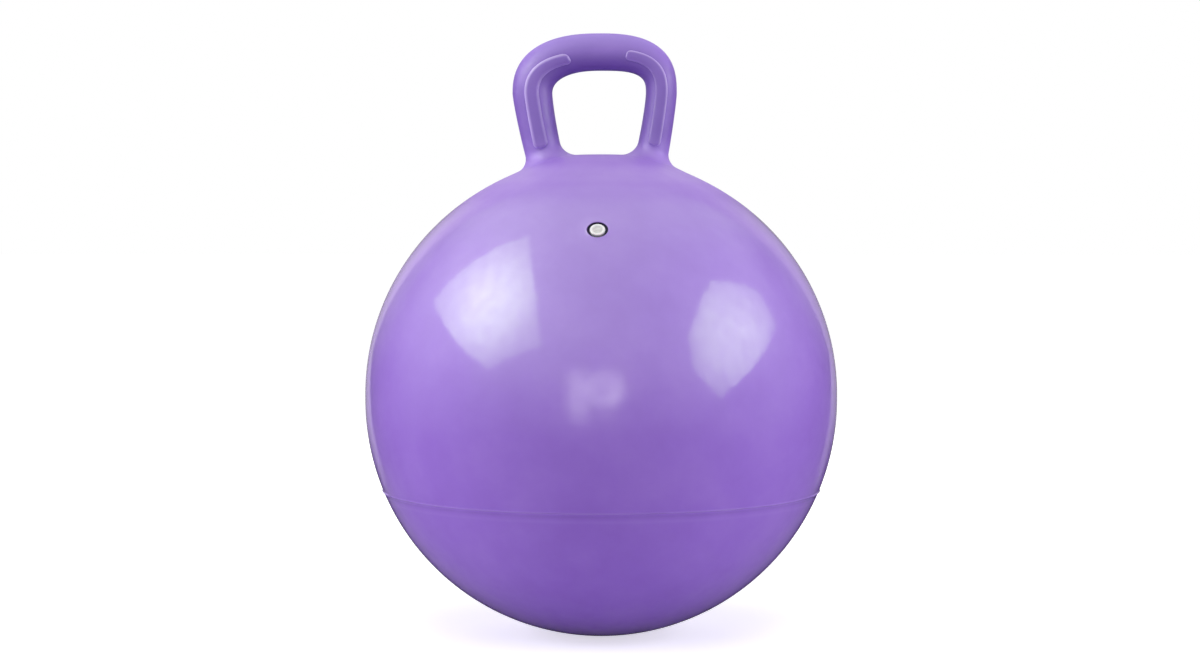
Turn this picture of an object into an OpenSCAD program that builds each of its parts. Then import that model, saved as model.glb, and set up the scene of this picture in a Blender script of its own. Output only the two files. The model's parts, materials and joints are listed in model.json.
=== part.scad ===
// Hopper ball: an inflated ball with a moulded loop handle, four grip ribs and a pull-out air plug.
// Millimetres, +Z up, the valve to the front at -Y, the origin in the middle of the flat on the floor.

/* [Ball] */
// Diameter of the ball at its waist
ball_d = 450; // [380:5:600]
// Height of the straight waist between the two domes
waist_h = 6; // [1:0.5:12]
// Thickness of the moulded skin
skin_t = 1.5; // [1:0.1:3]
// Radius of the flat that the ball's weight presses on the floor
floor_r = 24; // [14:1:40]
// Height of the parting line above the floor
seam_z = 137.5; // [80:0.5:170]
// Width of the bead along the parting line
bead_w = 2.4; // [1.6:0.2:5]
// How far the bead stands proud of the skin
bead_h = 0.6; // [0.3:0.1:0.7]

/* [Handle] */
// Height of the handle above the crown of the ball
handle_h = 118; // [105:0.5:140]
// Thickness of the bar at its middle
bar_t = 35.5; // [28:0.5:40]
// How far the middle of the loop lies to the right of the ball's axis
handle_x = -2; // [-6:0.5:6]
// Depth of the loop from front to back
handle_depth = 34; // [26:0.5:44]
// Height of the loop's widest level above the crown
shoulder_z = 61; // [50:0.5:70]
// Clear width of the opening at its widest level
opening_w = 89; // [80:0.5:120]
// Thickness of the left leg at the widest level
left_leg_t = 38; // [24:0.5:44]
// Thickness of the right leg at the widest level
right_leg_t = 29.5; // [22:0.5:44]
// Clear width between the feet at the level of the crown
foot_gap_w = 69; // [60:0.5:90]
// Thickness of the left foot
left_foot_t = 33; // [24:0.5:44]
// Thickness of the right foot
right_foot_t = 30; // [24:0.5:44]
// Radius of the fillet under each leg on the side of the opening
inner_fillet_r = 14; // [6:0.5:20]
// Radius of the fillet under each leg on its outer side
outer_fillet_r = 9; // [5:0.5:16]
// Thickness of the hollow handle's wall
handle_wall_t = 2.4; // [1.2:0.1:4]
// Diameter of the air hole from the ball into each leg
air_hole_d = 18; // [8:0.5:19]

/* [Grip ribs] */
// Width of a rib
rib_w = 11.5; // [6:0.5:15]
// Height of a rib above the handle's face
rib_h = 1.8; // [0.8:0.1:4]
// Width of the rounded edge along a rib's top
rib_edge = 1.2; // [0.4:0.1:2]
// Height of a rib's lower end above the ball's skin
rib_foot_z = 12; // [6:0.5:30]
// Distance from the ball's axis to the left ribs' ends on the bar
left_rib_end_x = 30; // [20:0.5:44]
// Distance from the ball's axis to the right ribs' ends on the bar
right_rib_end_x = 23; // [16:0.5:44]
// How far the left ribs' ends on the bar lie below the middle of the bar
left_rib_drop = 7; // [0:0.5:10]
// How far the right ribs' ends on the bar lie below the middle of the bar
right_rib_drop = 3.5; // [0:0.5:10]

/* [Valve] */
// Latitude of the valve above the centre of the upper dome, in degrees
valve_lat = 44.5; // [35:0.5:58]
// Diameter of the plug's head
plug_head_d = 14.8; // [11:0.2:17]
// How far the plug's head stands proud of the skin
plug_proud = 2.2; // [1:0.1:5]
// Width of the bevel round the top of the plug's head
plug_bevel = 1; // [0.3:0.1:1.6]
// Depth of the shallow dish in the plug's head
plug_dish = 0.4; // [0.1:0.1:1]
// Diameter of the plug's stem
stem_d = 8; // [5:0.2:10]
// Length of the plug's stem below its head
stem_l = 18; // [12:0.5:26]
// Length of the stem's tapered tip
stem_tip_l = 3; // [1:0.5:6]
// Diameter of the stem's tip
stem_tip_d = 5.6; // [3:0.2:7.6]
// Running clearance between the stem and its bore, on the radius
stem_clear = 0.05; // [0.02:0.01:0.1]
// Diameter of the round recess about the plug's head
recess_d = 18.6; // [18:0.2:24]
// Depth of the recess below the inner face of the skin
recess_step = 0.5; // [0.3:0.1:1.5]
// Diameter of the seat's flange under the skin
seat_flange_d = 32; // [28:0.5:46]
// Thickness of the seat's flange
seat_flange_t = 3; // [2:0.2:6]
// Diameter of the seat's boss
seat_boss_d = 17; // [14:0.5:22]
// Length of the seat, from the inner face of the skin to the end of its boss
seat_l = 15; // [10:0.5:22]

/* [Hidden] */

// Colours of the moulded skin, its handle and the plug
skin_colour = [0.56, 0.42, 0.78];
handle_colour = [0.53, 0.4, 0.75];
plug_colour = [0.93, 0.93, 0.94];

// Smoothness of the turned pieces, and of the ball's own round in a section
$fn = 96;
fine_round = 1440;
// Turn of the ball about its axis, which keeps the start of its round clear of the feet and the valve
start_turn = 100;
// How far a cut runs past what it cuts
overrun = 2;

// The ball's two domes share one radius, and their centres lie a waist apart
ball_r = ball_d / 2;
inner_r = ball_r - skin_t;
low_z = sqrt(ball_r * ball_r - floor_r * floor_r);
high_z = low_z + waist_h;
crown_z = high_z + ball_r;

// The parting line's radius, and the round that a bead of this width and height is part of
seam_r = sqrt(ball_r * ball_r - pow(low_z - seam_z, 2));
bead_round_r = (bead_w * bead_w / 4 + bead_h * bead_h) / (2 * bead_h);
bead_centre_share = (ball_r - bead_round_r + bead_h) / ball_r;

// How square the loop's corners are outside and inside: 2 is an ellipse, and more is squarer
left_outer_squareness = 2.4;
left_inner_squareness = 2.25;
right_outer_squareness = 2.65;
right_inner_squareness = 3.3;
// How soon a leg reaches its full width on its way up: 1 is a straight line
leg_ease = 1.3;
// The fillets stop at this share of their radius above the skin, so that their edge isn't a knife
fillet_edge_share = 0.08;
// How far the feet's flat facets stay off the round skin
foot_clear = 0.06;
// How high a rib is at its ends, as a share of its full height
rib_end_share = 0.45;
// How high the square side of a rib is, as a share of its full height
rib_side_share = 0.5;
// The levels of the rings through a foot, as shares of the height of the ribs' lower ends
foot_level_shares = [0, 0.08, 0.2, 0.36, 0.56, 0.78];

// Steps of the loop's mesh: up a leg, round a corner beside a rib, along the bar, and round a section
leg_steps = 5;
corner_steps = 8;
bar_steps = 3;
section_steps = 4;

// The level of the recess's floor along the valve's axis, from the skin, and the radius of the plug's dish
recess_z = -skin_t - (inner_r - sqrt(inner_r * inner_r - recess_d * recess_d / 4)) - recess_step;
dish_r = (pow(plug_head_d / 2 - plug_bevel, 2) + plug_dish * plug_dish) / (2 * plug_dish);

function leg_t(side) = side < 0 ? left_leg_t : right_leg_t;
function foot_t(side) = side < 0 ? left_foot_t : right_foot_t;
function outer_squareness(side) = side < 0 ? left_outer_squareness : right_outer_squareness;
function inner_squareness(side) = side < 0 ? left_inner_squareness : right_inner_squareness;
function rib_end_x(side) = side < 0 ? left_rib_end_x : right_rib_end_x;
function rib_drop(side) = side < 0 ? left_rib_drop : right_rib_drop;

// A place on the loop is a side, a share of the way up the leg, and an angle round the corner.
// An edge of the loop there, across and up from the crown, by its reach at the foot and at the widest
// level, its height at the bar and the squareness of its corner.
function edge(side, climb, turn, foot_x, wide_x, top_z, squareness) =
    let (leg_x = foot_x + (wide_x - foot_x) * (1 - pow(1 - climb, leg_ease)))
    [
        handle_x + side * leg_x * pow(cos(turn), 2 / squareness),
        shoulder_z * climb + (top_z - shoulder_z) * pow(sin(turn), 2 / squareness)
    ];

function outer_edge(side, climb, turn) =
    let (foot_x = foot_gap_w / 2 + foot_t(side), wide_x = opening_w / 2 + leg_t(side))
    edge(side, climb, turn, foot_x, wide_x, handle_h, outer_squareness(side));

function inner_edge(side, climb, turn) =
    edge(side, climb, turn, foot_gap_w / 2, opening_w / 2, handle_h - bar_t, inner_squareness(side));

// The angle round the corner at which a side's ribs end on the bar
function rib_turn(side) =
    let (
        end_share = (rib_end_x(side) - side * handle_x) / ((opening_w + leg_t(side)) / 2),
        squareness = (outer_squareness(side) + inner_squareness(side)) / 2
    )
    acos(pow(end_share, squareness / 2));

// How far a fillet of a radius stands out from the leg at a height above the skin
function fillet_out(radius, height) =
    let (up = height + fillet_edge_share * radius)
    up >= radius ? 0 : radius - sqrt(radius * radius - pow(radius - up, 2));

// How far the ball's skin lies below the crown at a place
function skin_drop(x, y) = sqrt(ball_r * ball_r - x * x - y * y) - ball_r;

// A point of the loop's surface: an ellipse between the two edges, drawn in by an inset, with its
// fillet near the skin. Angle 0 is the outer edge, 180 the inner edge and 90 the back.
function loop_point(side, climb, turn, angle, inset) =
    let (
        outer = outer_edge(side, climb, turn),
        inner = inner_edge(side, climb, turn),
        middle = (outer + inner) / 2,
        half = (outer - inner) / 2 * (1 - 2 * inset / norm(outer - inner)),
        radius = (outer_fillet_r + inner_fillet_r + (outer_fillet_r - inner_fillet_r) * cos(angle)) / 2,
        out = inset > 0 ? 0 : fillet_out(radius, climb * shoulder_z),
        x = middle[0] + cos(angle) * (half[0] + side * out),
        y = sin(angle) * (handle_depth / 2 - inset + out),
        settle = pow(1 - climb, 2)
    )
    [x, y, crown_z + middle[1] + cos(angle) * half[1] + settle * skin_drop(x, y)];

// The angles of a section from its outer to its inner edge, with columns along both edges of a rib
function half_angles(side, climb, turn) =
    let (
        half_t = norm(outer_edge(side, climb, turn) - inner_edge(side, climb, turn)) / 2,
        drop = rib_drop(side) * pow(sin(turn), 2),
        first = acos((rib_w / 2 - drop) / half_t),
        last = acos((-rib_w / 2 - drop) / half_t)
    )
    concat(
        [for (i = [0 : section_steps]) first * i / section_steps],
        [(first + last) / 2],
        [for (i = [0 : section_steps]) last + (180 - last) * i / section_steps]
    );

function loop_ring(place, inset) =
    let (
        angles = half_angles(place[0], place[1], place[2]),
        count = len(angles) - 1,
        all_angles = concat(
            [for (i = [0 : count - 1]) angles[i]],
            [for (i = [0 : count - 1]) -angles[count - i]]
        )
    )
    [for (angle = all_angles) loop_point(place[0], place[1], place[2], angle, inset)];

// The places along one side's foot, from the skin to the ribs' lower ends
function foot_places(side) = [
    for (share = foot_level_shares)
        [side, (foot_clear + share * (rib_foot_z - foot_clear)) / shoulder_z, 0]
];

// The places that a side's ribs cover, from their lower ends up the leg and round the corner
function rib_places(side) =
    let (start = rib_foot_z / shoulder_z)
    concat(
        [for (i = [0 : leg_steps]) [side, start + (1 - start) * i / leg_steps, 0]],
        [for (i = [1 : corner_steps]) [side, 1, rib_turn(side) * i / corner_steps]]
    );

// The places from the ribs' ends towards the middle of the bar, which both sides share
function bar_places(side) = [
    for (i = [1 : bar_steps - 1]) [side, 1, rib_turn(side) + (90 - rib_turn(side)) * i / bar_steps]
];

function side_places(side) = concat(foot_places(side), rib_places(side), bar_places(side));

function reversed(list) = [for (i = [len(list) - 1 : -1 : 0]) list[i]];

// The loop from the left foot over the bar to the right foot
loop_places = concat(side_places(-1), [[1, 1, 90]], reversed(side_places(1)));

// A skin of triangles over a list of rings of points, capped at both ends or joined end to end.
// The two kinds split their squares opposite ways, so that a rib's underside has the loop's own triangles.
module loft(rings, joined = false) {
    around = len(rings[0]);
    count = len(rings);
    last = (count - 1) * around;
    sides = [
        for (i = [0 : joined ? count - 1 : count - 2])
            for (j = [0 : around - 1])
                let (
                    k = (j + 1) % around,
                    this = i * around,
                    next = (i + 1) % count * around
                )
                each joined
                    ? [[this + j, this + k, next + j], [this + k, next + k, next + j]]
                    : [[this + j, this + k, next + k], [this + j, next + k, next + j]]
    ];
    caps = [
        for (j = [1 : around - 2])
            each [[0, j + 1, j], [last, last + j, last + j + 1]]
    ];
    polyhedron([for (ring = rings) each ring], concat(sides, joined ? [] : caps), convexity = 6);
}

// Half of the ball's section, right of its axis, at a radius and cut off at a floor
module ball_section(radius, floor_level) {
    translate([0, high_z])
        intersection() {
            circle(radius);
            square(radius);
        }
    translate([0, low_z])
        square([radius, waist_h]);
    intersection() {
        translate([0, low_z])
            circle(radius);
        translate([0, floor_level])
            square([radius, low_z - floor_level]);
    }
}

// The skin of the ball between two levels, with the part of the parting bead that lies between them
module skin(from_z, to_z) {
    rotate([0, 0, start_turn])
        rotate_extrude()
            intersection() {
                difference() {
                    union() {
                        ball_section(ball_r, 0);
                        translate([seam_r * bead_centre_share, low_z + (seam_z - low_z) * bead_centre_share])
                            circle(bead_round_r);
                    }
                    ball_section(inner_r, skin_t);
                }
                translate([0, from_z])
                    square([ball_r + overrun, to_z - from_z]);
            }
}

// Moves a piece to the valve: its own +Z then points out of the ball, from the skin's surface
module at_valve() {
    translate([0, 0, high_z])
        rotate([90 - valve_lat, 0, 0])
            translate([0, 0, ball_r])
                children();
}

module upper_shell() {
    color(skin_colour)
        difference() {
            skin(seam_z, crown_z + overrun);
            for (side = [-1, 1])
                translate([handle_x + side * (foot_gap_w + foot_t(side)) / 2, 0, high_z])
                    cylinder(d = air_hole_d, h = ball_r + overrun);
            at_valve()
                translate([0, 0, -skin_t - overrun])
                    cylinder(d = recess_d, h = skin_t + 2 * overrun);
        }
}

module lower_shell() {
    color(skin_colour)
        skin(0, seam_z);
}

// The hollow loop: its outer skin from the left foot to the right, and its inner skin back again
module handle() {
    outer = [for (place = loop_places) loop_ring(place, 0)];
    inner = [for (place = loop_places) loop_ring(place, handle_wall_t)];
    color(handle_colour)
        loft(concat(outer, reversed(inner)), joined = true);
}

// A rib's section at a place: its base lies on the loop, and its flat top has rounded edges
function rib_ring(place, face, height) =
    let (
        angles = half_angles(place[0], place[1], place[2]),
        base = [
            for (i = [section_steps : section_steps + 2])
                loop_point(place[0], place[1], place[2], face * angles[i], 0)
        ],
        side_rise = [0, face * height * rib_side_share, 0],
        top_y = base[1][1] + face * height,
        in_share = rib_edge / rib_w,
        near = base[0] + (base[2] - base[0]) * in_share,
        far = base[2] + (base[0] - base[2]) * in_share
    )
    [
        base[0],
        base[1],
        base[2],
        base[2] + side_rise,
        [far[0], top_y, far[2]],
        [near[0], top_y, near[2]],
        base[0] + side_rise
    ];

// A rib on one side of the loop, on its front face at -1 or its back face at 1
module grip_rib(side, face) {
    places = rib_places(side);
    last = len(places) - 1;
    rings = [
        for (i = [0 : last])
            rib_ring(places[i], face, i == 0 || i == last ? rib_h * rib_end_share : rib_h)
    ];
    color(handle_colour)
        loft(side * face > 0 ? rings : reversed(rings));
}

module valve_seat() {
    color(skin_colour)
        at_valve()
            rotate_extrude()
                difference() {
                    intersection() {
                        translate([0, -skin_t - seat_l])
                            union() {
                                square([seat_boss_d / 2, seat_l]);
                                translate([0, seat_l - seat_flange_t])
                                    square([seat_flange_d / 2, seat_flange_t]);
                            }
                        translate([0, -ball_r])
                            circle(inner_r, $fn = fine_round);
                    }
                    translate([0, recess_z])
                        square([recess_d / 2, recess_step + overrun]);
                    translate([0, -skin_t - seat_l - overrun])
                        square([stem_d / 2 + stem_clear, seat_l + 2 * overrun]);
                }
}

module valve_plug() {
    rim_z = plug_proud - plug_bevel;
    tip_z = recess_z - stem_l;
    color(plug_colour)
        at_valve()
            rotate_extrude()
                difference() {
                    polygon([
                        [0, tip_z],
                        [stem_tip_d / 2, tip_z],
                        [stem_d / 2, tip_z + stem_tip_l],
                        [stem_d / 2, recess_z],
                        [plug_head_d / 2, recess_z],
                        [plug_head_d / 2, rim_z],
                        [plug_head_d / 2 - plug_bevel, plug_proud],
                        [0, plug_proud]
                    ]);
                    translate([0, plug_proud - plug_dish + dish_r])
                        circle(dish_r, $fn = fine_round);
                }
}

upper_shell();
lower_shell();
handle();
grip_rib(-1, -1);  // rib_front_left
grip_rib(1, -1);  // rib_front_right
grip_rib(-1, 1);  // rib_back_left
grip_rib(1, 1);  // rib_back_right
valve_seat();
valve_plug();
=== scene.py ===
import json
import math

import bmesh
import bpy
from mathutils import Matrix, Vector


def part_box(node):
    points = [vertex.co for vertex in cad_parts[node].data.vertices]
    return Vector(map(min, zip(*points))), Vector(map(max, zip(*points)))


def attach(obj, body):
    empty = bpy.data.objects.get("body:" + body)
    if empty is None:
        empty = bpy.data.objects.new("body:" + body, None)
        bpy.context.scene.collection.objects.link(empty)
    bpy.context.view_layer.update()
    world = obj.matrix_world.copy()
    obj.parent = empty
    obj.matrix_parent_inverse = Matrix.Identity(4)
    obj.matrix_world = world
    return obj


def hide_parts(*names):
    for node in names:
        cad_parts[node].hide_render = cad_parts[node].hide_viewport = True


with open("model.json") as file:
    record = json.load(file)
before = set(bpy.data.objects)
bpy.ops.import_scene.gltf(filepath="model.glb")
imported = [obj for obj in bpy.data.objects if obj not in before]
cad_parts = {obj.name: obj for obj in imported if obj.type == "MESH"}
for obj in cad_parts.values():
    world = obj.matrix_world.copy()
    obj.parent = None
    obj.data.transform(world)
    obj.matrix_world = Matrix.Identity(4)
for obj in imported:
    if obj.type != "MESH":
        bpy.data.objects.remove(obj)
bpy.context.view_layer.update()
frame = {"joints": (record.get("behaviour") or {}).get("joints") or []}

MM = 0.001

# The ball's skin
BALL_R = 225 * MM
FLOOR_R = 24 * MM
WAIST_H = 6 * MM
SKIN_T = 1.5 * MM
LOW_Z = math.sqrt(BALL_R ** 2 - FLOOR_R ** 2)
HIGH_Z = LOW_Z + WAIST_H
CROWN_Z = HIGH_Z + BALL_R
SEAM_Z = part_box("lower_shell")[1].z
SEAM_TURN = math.asin((LOW_Z - SEAM_Z) / BALL_R)
# The skin is drawn up a little where it carries the handle
CROWN_RISE = 2.2 * MM
CROWN_REACH = 130 * MM
# and is nearly flat between the handle's feet
FLAT_LIFT = 0.9 * MM
FLAT_SHARE = 0.8
FLAT_NEAR = 20 * MM
FLAT_FAR = 85 * MM
# The parting ridge and the faint ripples beside it
RIDGE_H = 0.28 * MM
RIDGE_W = 2.3 * MM
RIPPLE_H = 0.05 * MM
RIPPLE_PITCH = 5 * MM
RIPPLE_REACH = 9 * MM
SEAM_REACH = 12 * MM
SEAM_STEPS = 26
SKIN_STEPS = 192

# The handle's loop
HANDLE_X = -2 * MM
HANDLE_H = 118 * MM
BAR_T = 35.5 * MM
HANDLE_DEPTH = 34 * MM
SHOULDER_H = 61 * MM
OPENING_W = 89 * MM
FOOT_GAP_W = 69 * MM
LEG_T = {-1: 38 * MM, 1: 29.5 * MM}
FOOT_T = {-1: 33 * MM, 1: 30 * MM}
OUTER_SQUARENESS = {-1: 2.4, 1: 2.65}
INNER_SQUARENESS = {-1: 2.25, 1: 3.3}
LEG_EASE = 1.3
INNER_FILLET_R = 14 * MM
OUTER_FILLET_R = 9 * MM
HANDLE_WALL_T = 2.4 * MM
FOOT_SINK = 0.5 * MM
RING_POINTS = 72
FILLET_STEPS = 10
LEG_STEPS = 16
CORNER_STEPS = 30

# The grip ribs
RIB_W = 11.5 * MM
RIB_H = 1.8 * MM
RIB_EDGE = 1.5 * MM
RIB_FOOT_H = 12 * MM
RIB_END_X = {-1: 32.5 * MM, 1: 25 * MM}
RIB_BAR_W = {-1: 8.5 * MM, 1: 9.5 * MM}
RIB_DROP = {-1: 7 * MM, 1: 3.5 * MM}
RIB_END_L = 5 * MM
RIB_END_SQUARENESS = 2.4
RIB_SINK = 0.3 * MM
RIB_WALL_T = 1.2 * MM
RIB_LEG_STEPS = 40
RIB_CORNER_STEPS = 60
RIB_BODY_ROWS = 44
# Rows of points at a rib's ends, as shares of the end's length, and columns across it, as shares of half its width
RIB_ROWS = [0, 0.02, 0.06, 0.12, 0.2, 0.3, 0.42, 0.56, 0.72, 0.88, 1]
RIB_COLUMNS = [-1, -0.985, -0.95, -0.9, -0.83, -0.75, -0.6, -0.3, 0, 0.3, 0.6, 0.75, 0.83, 0.9, 0.95, 0.985, 1]

# The parting line has a painted highlight along its top and painted shade underneath, and a faint painted highlight on
# a ripple lower down: heights from the line in mm, and shares
SEAM_PAINTED_HIGHLIGHT = [(-9, 0), (-6.8, 0.07), (-4.5, 0), (0, 0), (1.5, 0.26), (3, 0)]
SEAM_PAINTED_SHADE = [(-5, 0), (-3.2, 0.07), (-1.7, 0.16), (-0.2, 0)]

# Where the gloss begins and is whole, as distances from the crown, and how much of it is left nearer
POLISH_NEAR = 105 * MM
POLISH_FAR = 170 * MM
POLISH_LEAST = 0.08
# The ring of painted sheen round the handle, a paler tone that stands in for the ceiling's soft reflection and lifts
# the shade there: distance from the crown and share
PAINTED_SHEEN_RING = [
    (20 * MM, 0), (60 * MM, 0.45), (80 * MM, 0.95), (98 * MM, 0.95), (112 * MM, 0.6), (132 * MM, 0.2), (165 * MM, 0)]
# How far over the ball's skin the handle's own tone takes over from a paler tone, which matches the ball's painted
# sheen
ROOT_NEAR = 3 * MM
ROOT_FAR = 34 * MM
# How large the clouds in the vinyl's colour are, and the smears in its sheen
CLOUD_SIZE = 45 * MM
SMEAR_SIZE = 14 * MM
# Where nearly all values of a noise texture lie
NOISE_SPAN = (0.3, 0.7)

# The valve
VALVE_AXIS = Vector(frame["joints"][0]["axis"]).normalized()
PLUG_R = 6.9 * MM
PLUG_PROUD = 3 * MM
PLUG_DISH = 0.75 * MM
STEM_R = 4 * MM
STEM_L = 18 * MM
STEM_TIP_R = 2.8 * MM
STEM_TIP_L = 3 * MM
HOLE_R = 9.3 * MM
RECESS_H = -2.194 * MM
SEAT_FLANGE_R = 16 * MM
SEAT_BOSS_R = 8.5 * MM
SEAT_BORE_R = 4.05 * MM
SEAT_L = 15 * MM
LIP_W = 2.2 * MM
LIP_H = 0.55 * MM
PATCH_R = 22 * MM
HOLE_POINTS = 96
VALVE_STEPS = 64
# The lip's section from the skin to the hole's wall: shares of its width and of its height
LIP_STEPS = [(0.75, 0.35), (0.5, 0.8), (0.3, 1), (0.12, 0.75), (0.03, 0.1), (0, -0.5), (0, -1.4), (0, -3.3)]

# The light: what a white card facing each lamp gives back, and the studio's brightness by degrees over level
LEFT_LIGHT = 0.65
RIGHT_LIGHT = 0.585
FRONT_LIGHT = 0.275
TOP_LIGHT = 0.54
SKY_FILL = 0.08
FLOOR_FILL = 0.17
BACK_LIGHT = 0.22
ROOM_FRONT = [(-32, 0.02), (-15, 0.1), (0, 0.8), (15, 1.6), (30, 1.95), (60, 2), (89, 2)]
ROOM_BACK = [(-32, 0.05), (-15, 0.1), (0, 0.1), (15, 0.45), (30, 0.55), (45, 1.4), (60, 1.8), (89, 2)]
# The pale sheet behind the ball: its brightness by how straight behind it is, its share by height,
# and the place, slope, waist and softness of its edge
SHEET_LEVEL = [(0.7, 0.78), (0.81, 0.87), (0.85, 0.77), (0.89, 0.6), (0.94, 0.42), (0.975, 0.3), (1, 0.25)]
SHEET_SHARE = [(-0.5, 0.07), (-0.35, 0.17), (-0.26, 0.35), (-0.165, 0.58), (-0.1, 0.75), (-0.04, 1)]
SHEET_EDGE = 0.875
SHEET_SLOPE = 0.38
SHEET_WAIST = 0.03
SHEET_SOFT = 0.01
# The rest of the room: levels, and where each begins and is whole along the room's axes
RAMP_TOP = 3
REAR_Y = (0.05, 0.6)
ROOM_TABLE = 0.18
TABLE_Z = (-0.24, -0.28)
TABLE_CLEAR_X = (0.1, 0.5)
ROOM_GAP = 0.03
GAP_Y = (0.87, 0.91)
GAP_Z = (-0.1, -0.17)
SIDE_LEVEL = (1.16, 0.74)
SIDE_DIM = 0.7
SIDE_DIM_X = (0.77, 0.96)
# The tints of the studio, the sheet and the softboxes in the gloss
ROOM_TINT = (0.94, 1.07, 0.76, 1)
SHEET_TINT = (1.02, 0.99, 0.95, 1)
CARD_TINT = (0.76, 1, 0.52, 1)
UMBRELLA_TINT = (0.95, 0.97, 0.86, 1)
# Corners of the softboxes as the highlights show them, in metres on a plane that faces the ball
LEFT_CARD = [(-0.06, 0.6), (-0.45, -0.25), (0.14, -0.5), (0.69, -0.68), (1.28, -0.15), (0.73, 0.24)]
RIGHT_CARD = [
    (0, 0.46), (-0.36, 0.29), (-0.64, 0.08), (-0.74, -0.24), (-0.5, -0.62), (0.13, -0.28), (0.54, -0.07), (0.49, 0.23)]
UMBRELLA_R = 0.55
UMBRELLA = [(UMBRELLA_R * math.cos(math.radians(a)), UMBRELLA_R * math.sin(math.radians(a))) for a in range(0, 360, 15)]
CARD_DISTANCE = 1.3
# How each one glows: an even level over the cloth, and bright spots as (x, y, bright out to, faded out at, level)
LEFT_GLOW = (2.2, [(0.33, -0.08, 0.08, 0.75, 6.2)])
RIGHT_GLOW = (1.7, [(-0.17, -0.06, 0.08, 0.76, 4.3)])
UMBRELLA_GLOW = (0, [
    (0.08, 0.06, 0.11, 0.25, 2.7), (-0.18, 0.12, 0, 0.22, 3), (-0.18, -0.09, 0, 0.22, 3.6),
    (0.2, 0.02, 0.05, 0.17, 1.1), (0.1, -0.12, 0.04, 0.18, 0.8)])
# The folds in their cloth: size in metres, and how far they dim and brighten it
FOLD_SIZE = 0.11
FOLD_LEVEL = (0.72, 1.28)


# Modelling helpers

def start_point(name):
    """Starts a piece as one point at the origin, in edit mode and selected."""
    bpy.ops.object.select_all(action="DESELECT")
    bpy.ops.mesh.primitive_plane_add(size=MM)
    piece = bpy.context.object
    piece.name = name
    piece.data.name = name
    bpy.ops.object.mode_set(mode="EDIT")
    bpy.context.tool_settings.mesh_select_mode = (True, False, False)
    bpy.ops.mesh.select_all(action="SELECT")
    bpy.ops.mesh.merge(type="CENTER")
    return piece


def draw_profile(name, points):
    """Draws a line of (radius, height) points by extruding one point along it."""
    piece = start_point(name)
    here = Vector((0, 0, 0))
    for number, (radius, height) in enumerate(points):
        move = Vector((radius, 0, height)) - here
        if number == 0:
            bpy.ops.transform.translate(value=move)
        else:
            bpy.ops.mesh.extrude_region_move(TRANSFORM_OT_translate={"value": move})
        here = here + move
    return piece


def spin_round(steps):
    """Turns the drawn profile round the Z axis, and closes the seam and the poles."""
    bpy.ops.mesh.select_all(action="SELECT")
    bpy.ops.mesh.spin(steps=steps, angle=2 * math.pi, center=(0, 0, 0), axis=(0, 0, 1))
    close_up()


def close_up():
    """Merges the points that lie on each other and turns the faces outwards."""
    bpy.ops.mesh.select_all(action="SELECT")
    bpy.ops.mesh.remove_doubles(threshold=0.002 * MM)
    bpy.ops.mesh.normals_make_consistent(inside=False)


def select_points(piece, test):
    """Selects the points, and the edges and faces between them, that pass the test."""
    bpy.ops.mesh.select_all(action="DESELECT")
    shape = bmesh.from_edit_mesh(piece.data)
    for point in shape.verts:
        point.select = test(point)
    shape.select_flush_mode()
    bmesh.update_edit_mesh(piece.data)


def move_points(piece, place):
    """Moves each point of a plain starting shape to its place on the finished one."""
    shape = bmesh.from_edit_mesh(piece.data)
    for point in shape.verts:
        point.co = place(point.co)
    bmesh.update_edit_mesh(piece.data)


def apply_modifier(piece, kind, **settings):
    modifier = piece.modifiers.new(kind, kind)
    for key, value in settings.items():
        setattr(modifier, key, value)
    bpy.ops.object.modifier_apply(modifier=modifier.name)


def finish_piece(piece, material, body, sharp_angle, nodes):
    """Leaves edit mode, shades the piece, gives it its finish and ties it to the frame."""
    if bpy.context.mode != "OBJECT":
        bpy.ops.object.mode_set(mode="OBJECT")
    bpy.ops.object.select_all(action="DESELECT")
    piece.select_set(True)
    bpy.context.view_layer.objects.active = piece
    bpy.ops.object.shade_smooth_by_angle(angle=math.radians(sharp_angle))
    piece.data.materials.clear()
    piece.data.materials.append(material)
    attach(piece, body)
    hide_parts(*nodes)
    return piece


# Materials

def linear(hex_colour):
    """Turns an sRGB hex colour to the linear values that a shader takes."""
    channels = [int(hex_colour[i:i + 2], 16) / 255 for i in (1, 3, 5)]
    return tuple(c / 12.92 if c <= 0.04045 else ((c + 0.055) / 1.055) ** 2.4 for c in channels) + (1,)


def add_node(tree, kind, settings=None, inputs=None):
    """Adds a node, sets its options, and fills each input with a value or a link."""
    node = tree.nodes.new(kind)
    for key, value in (settings or {}).items():
        setattr(node, key, value)
    for key, value in (inputs or {}).items():
        if isinstance(value, bpy.types.NodeSocket):
            tree.links.new(value, node.inputs[key])
        else:
            node.inputs[key].default_value = value
    return node


def start_material(name):
    material = bpy.data.materials.new(name)
    material.use_nodes = True
    material.node_tree.nodes.clear()
    return material, material.node_tree


def set_ramp(node, stops):
    """Gives a colour ramp its stops: place and colour."""
    ramp = node.color_ramp
    while len(ramp.elements) > 1:
        ramp.elements.remove(ramp.elements[-1])
    ramp.elements[0].position, ramp.elements[0].color = stops[0]
    for place, colour in stops[1:]:
        ramp.elements.new(place).color = colour
    return node


def tone_ramp(tree, cloud, tones):
    """A colour that clouds between a deep, a middle and a pale tone."""
    ramp = add_node(tree, "ShaderNodeValToRGB", inputs={"Fac": cloud})
    places = (NOISE_SPAN[0], 0.5, NOISE_SPAN[1])
    return set_ramp(ramp, [(place, linear(tone)) for place, tone in zip(places, tones)]).outputs["Color"]


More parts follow.
